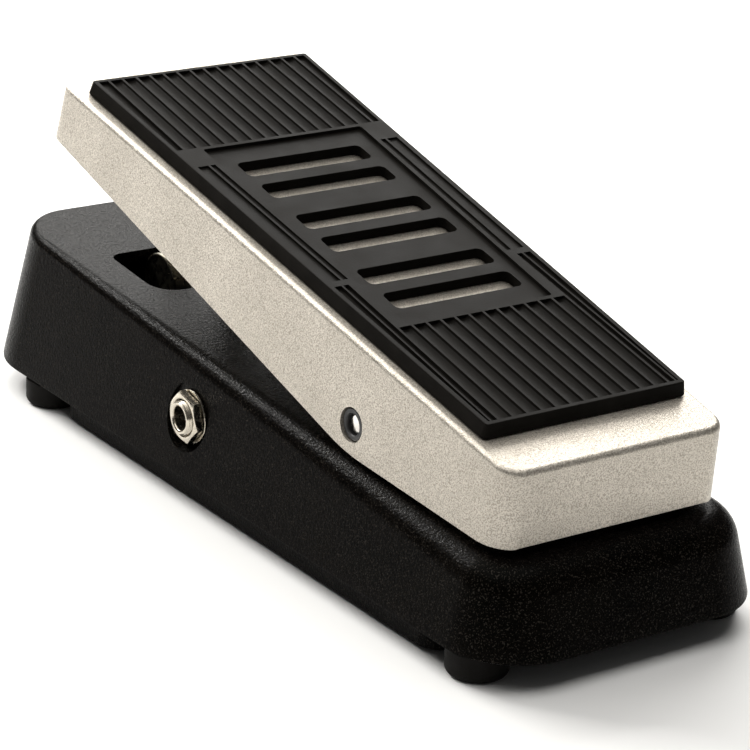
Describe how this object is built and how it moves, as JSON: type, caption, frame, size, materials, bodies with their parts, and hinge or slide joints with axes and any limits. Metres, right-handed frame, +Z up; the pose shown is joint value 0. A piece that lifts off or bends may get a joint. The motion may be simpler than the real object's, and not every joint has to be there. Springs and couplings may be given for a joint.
{
  "type": "rocker effects pedal",
  "caption": "Rocker treadle on a tapered cast base; rocking the treadle drives a rack and pinion that turns a potentiometer.",
  "frame": {"origin": "on the floor under the middle of the base", "axes": "+Y towards the toe end, +Z up, +X to the input jack's side"},
  "size_m": [0.1008, 0.252, 0.097],
  "materials": {
    "base_paint": "black wrinkle powder coat on cast metal",
    "treadle_metal": "satin nickel-grey cast metal",
    "pad_rubber": "black moulded rubber, ribbed",
    "black_rubber": "soft black rubber",
    "black_plastic": "black moulded plastic",
    "steel": "zinc-plated steel",
    "bright_nickel": "bright nickel plate",
    "jack_body": "black moulded jack body with a nickel bush",
    "nylon": "natural white nylon",
    "brass": "plain brass",
    "board": "green laminate",
    "red_film": "dipped film coating",
    "blue_can": "blue sleeve",
    "battery_jacket": "printed steel jacket, left plain",
    "foam": "soft grey foam",
    "lead_jacket": "bundle of insulated leads"
  },
  "bodies": {
    "base": {"rack_guide": "black_plastic", "base_casting": "base_paint", "bottom_cover": "base_paint", "foot_heel_left": "black_rubber", "foot_screw_heel_left": "steel", "foot_heel_right": "black_rubber", "foot_screw_heel_right": "steel", "foot_toe_left": "black_rubber", "foot_screw_toe_left": "steel", "foot_toe_right": "black_rubber", "foot_screw_toe_right": "steel", "pivot_pin": "steel", "pivot_set_screw": "steel", "heel_bumper_left": "black_rubber", "heel_bumper_right": "black_rubber", "pot_body": "steel", "pot_bracket": "steel", "pot_washer": "steel", "pot_nut": "bright_nickel", "bracket_screw_1": "steel", "bracket_screw_2": "steel", "guide_screw": "steel", "switch_body": "black_plastic", "switch_lock_washer": "steel", "switch_washer": "steel", "switch_nut": "bright_nickel", "output_jack": "jack_body", "output_jack_washer": "bright_nickel", "output_jack_nut": "bright_nickel", "input_jack": "jack_body", "input_jack_washer": "bright_nickel", "input_jack_nut": "bright_nickel", "power_inlet": "black_plastic", "power_inlet_nut": "black_plastic", "circuit_board": "board", "board_screw_left": "steel", "board_screw_right": "steel", "inductor": "red_film", "capacitor_large": "blue_can", "capacitor_small": "red_film", "transistor_input": "black_plastic", "transistor_output": "black_plastic", "battery": "battery_jacket", "battery_snap": "black_plastic", "battery_foam": "foam", "battery_leads": "lead_jacket", "pot_leads": "lead_jacket", "switch_leads": "lead_jacket"},
    "treadle": {"treadle_casting": "treadle_metal", "tread_pad": "pad_rubber", "pivot_bush_left": "black_plastic", "pivot_bush_right": "black_plastic", "rack_pin": "steel", "rack_pin_clip": "steel", "toe_bumper": "black_rubber"},
    "rack": {"rack": "nylon"},
    "shaft": {"pot_shaft": "steel", "pinion": "brass", "pinion_set_screw": "steel"},
    "plunger": {"switch_plunger": "bright_nickel"}
  },
  "joints": [
    {"name": "treadle_hinge", "type": "hinge", "parent": "base", "child": "treadle", "pos_m": [0, -0.0516, 0.0437], "axis": [-1, 0, 0], "range_deg": [0, 11]},
    {"name": "rack_slide", "type": "slide", "parent": "base", "child": "rack", "axis": [0, 0.1825, -0.9832], "range_m": [0, 0.0221]},
    {"name": "shaft_turn", "type": "hinge", "parent": "base", "child": "shaft", "pos_m": [0, 0.0747, 0.0375], "axis": [1, 0, 0], "range_deg": [0, 197.5]},
    {"name": "switch_press", "type": "slide", "parent": "base", "child": "plunger", "axis": [0, 0, -1], "range_m": [0, 0.0035], "stiffness_N_per_m": 3000, "springref_m": -0.002}
  ],
  "couplings": [
    {"joint": "rack_slide", "follows": "treadle_hinge", "m_per_rad": 0.11418},
    {"joint": "shaft_turn", "follows": "treadle_hinge", "ratio": 17.84}
  ]
}
